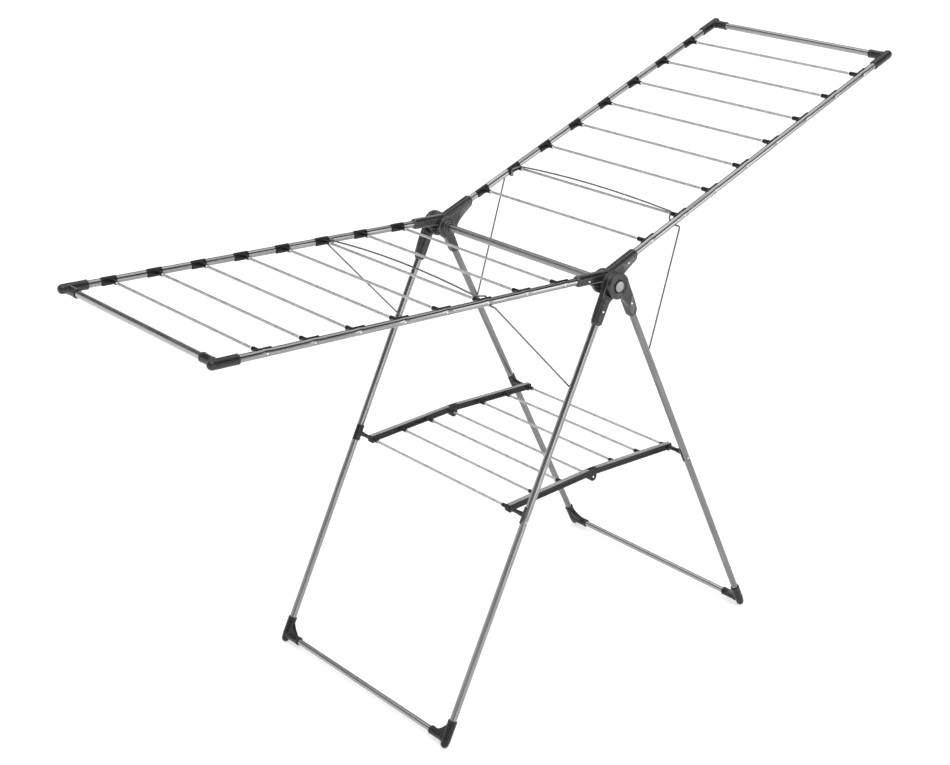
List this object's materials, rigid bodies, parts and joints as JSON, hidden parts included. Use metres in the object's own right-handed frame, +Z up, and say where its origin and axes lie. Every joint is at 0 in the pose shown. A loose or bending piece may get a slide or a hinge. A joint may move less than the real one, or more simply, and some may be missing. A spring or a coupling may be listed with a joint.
{
  "type": "clothes drying rack",
  "caption": "Folding gull-wing clothes drying rack: crossed tube legs, two slanting wings of drying wires held by wire stays, and a folding shelf between the legs.",
  "frame": {"origin": "on the floor, below the centre of the rack's bounding box", "axes": "+X along the wings towards the higher wing, +Y along the axle, +Z up"},
  "size_m": [1.9381, 0.6276, 1.3241],
  "materials": {
    "tube": "satin drawn steel tube",
    "wire": "light coated wire",
    "stay": "bright bent wire",
    "plastic": "satin moulded dark grey plastic",
    "rail": "satin moulded dark grey plastic",
    "cap": "satin silver cap"
  },
  "bodies": {
    "leg_frame_left": {"axle_cap_back": "cap", "axle_cap_front": "cap", "axle_tube": "tube", "foot_bar_left": "tube", "foot_left_back": "plastic", "foot_left_front": "plastic", "leg_hub_left_back": "plastic", "leg_hub_left_front": "plastic", "leg_tube_left_back": "tube", "leg_tube_left_front": "tube", "shelf_bracket_left_back": "plastic", "shelf_bracket_left_front": "plastic"},
    "leg_frame_right": {"foot_bar_right": "tube", "foot_right_back": "plastic", "foot_right_front": "plastic", "leg_hub_right_back": "plastic", "leg_hub_right_front": "plastic", "leg_tube_right_back": "tube", "leg_tube_right_front": "tube", "shelf_bracket_right_back": "plastic", "shelf_bracket_right_front": "plastic"},
    "wing_left": {"end_bar_left": "tube", "wing_corner_left_back": "plastic", "wing_corner_left_front": "plastic", "wing_hub_left_back": "plastic", "wing_hub_left_front": "plastic", "wing_tube_left_back": "tube", "wing_tube_left_front": "tube", "wing_wire_left_1": "wire", "wing_wire_left_2": "wire", "wing_wire_left_3": "wire", "wing_wire_left_4": "wire", "wing_wire_left_5": "wire", "wing_wire_left_6": "wire", "wing_wire_left_7": "wire", "wing_wire_left_8": "wire"},
    "wing_right": {"end_bar_right": "tube", "wing_corner_right_back": "plastic", "wing_corner_right_front": "plastic", "wing_hub_right_back": "plastic", "wing_hub_right_front": "plastic", "wing_tube_right_back": "tube", "wing_tube_right_front": "tube", "wing_wire_right_1": "wire", "wing_wire_right_2": "wire", "wing_wire_right_3": "wire", "wing_wire_right_4": "wire", "wing_wire_right_5": "wire", "wing_wire_right_6": "wire", "wing_wire_right_7": "wire", "wing_wire_right_8": "wire"},
    "stay_left": {"stay_left": "stay"},
    "stay_right": {"stay_right": "stay"},
    "shelf_left": {"shelf_hinge_wire": "wire", "shelf_pivot_wire_left": "wire", "shelf_rail_left_back": "rail", "shelf_rail_left_front": "rail"},
    "shelf_right": {"shelf_pivot_wire_right": "wire", "shelf_rail_right_back": "rail", "shelf_rail_right_front": "rail"}
  },
  "joints": [
    {"name": "leg_fold", "type": "hinge", "parent": "leg_frame_left", "child": "leg_frame_right", "pos_m": [0.03209, 0, 0.95], "axis": [0, 1, 0], "range_deg": [0, 44.4]},
    {"name": "wing_left", "type": "hinge", "parent": "leg_frame_left", "child": "wing_left", "pos_m": [0.03209, 0, 0.95], "axis": [0, -1, 0], "range_deg": [0, 63.2]},
    {"name": "wing_right", "type": "hinge", "parent": "leg_frame_right", "child": "wing_right", "pos_m": [0.03209, 0, 0.95], "axis": [0, 1, 0], "range_deg": [0, 80.8]},
    {"name": "stay_left", "type": "hinge", "parent": "leg_frame_left", "child": "stay_left", "pos_m": [-0.08646, 0, 0.74531], "axis": [0, -1, 0], "range_deg": [0, 109.25]},
    {"name": "stay_right", "type": "hinge", "parent": "leg_frame_right", "child": "stay_right", "pos_m": [0.15065, 0, 0.74531], "axis": [0, 1, 0], "range_deg": [0, 135.01]},
    {"name": "shelf_left", "type": "hinge", "parent": "leg_frame_left", "child": "shelf_left", "pos_m": [-0.21582, 0, 0.48241], "axis": [0, -1, 0], "range_deg": [0, 55.5]},
    {"name": "shelf_right", "type": "hinge", "parent": "shelf_left", "child": "shelf_right", "pos_m": [0.03209, 0, 0.48241], "axis": [0, 1, 0], "range_deg": [0, 155.39]}
  ],
  "couplings": [
    {"joint": "stay_left", "follows": "wing_left", "ratio": 1.7285},
    {"joint": "stay_right", "follows": "wing_right", "ratio": 1.6708},
    {"joint": "shelf_left", "follows": "leg_fold", "ratio": 1.2497},
    {"joint": "shelf_right", "follows": "leg_fold", "ratio": 3.4995}
  ]
}
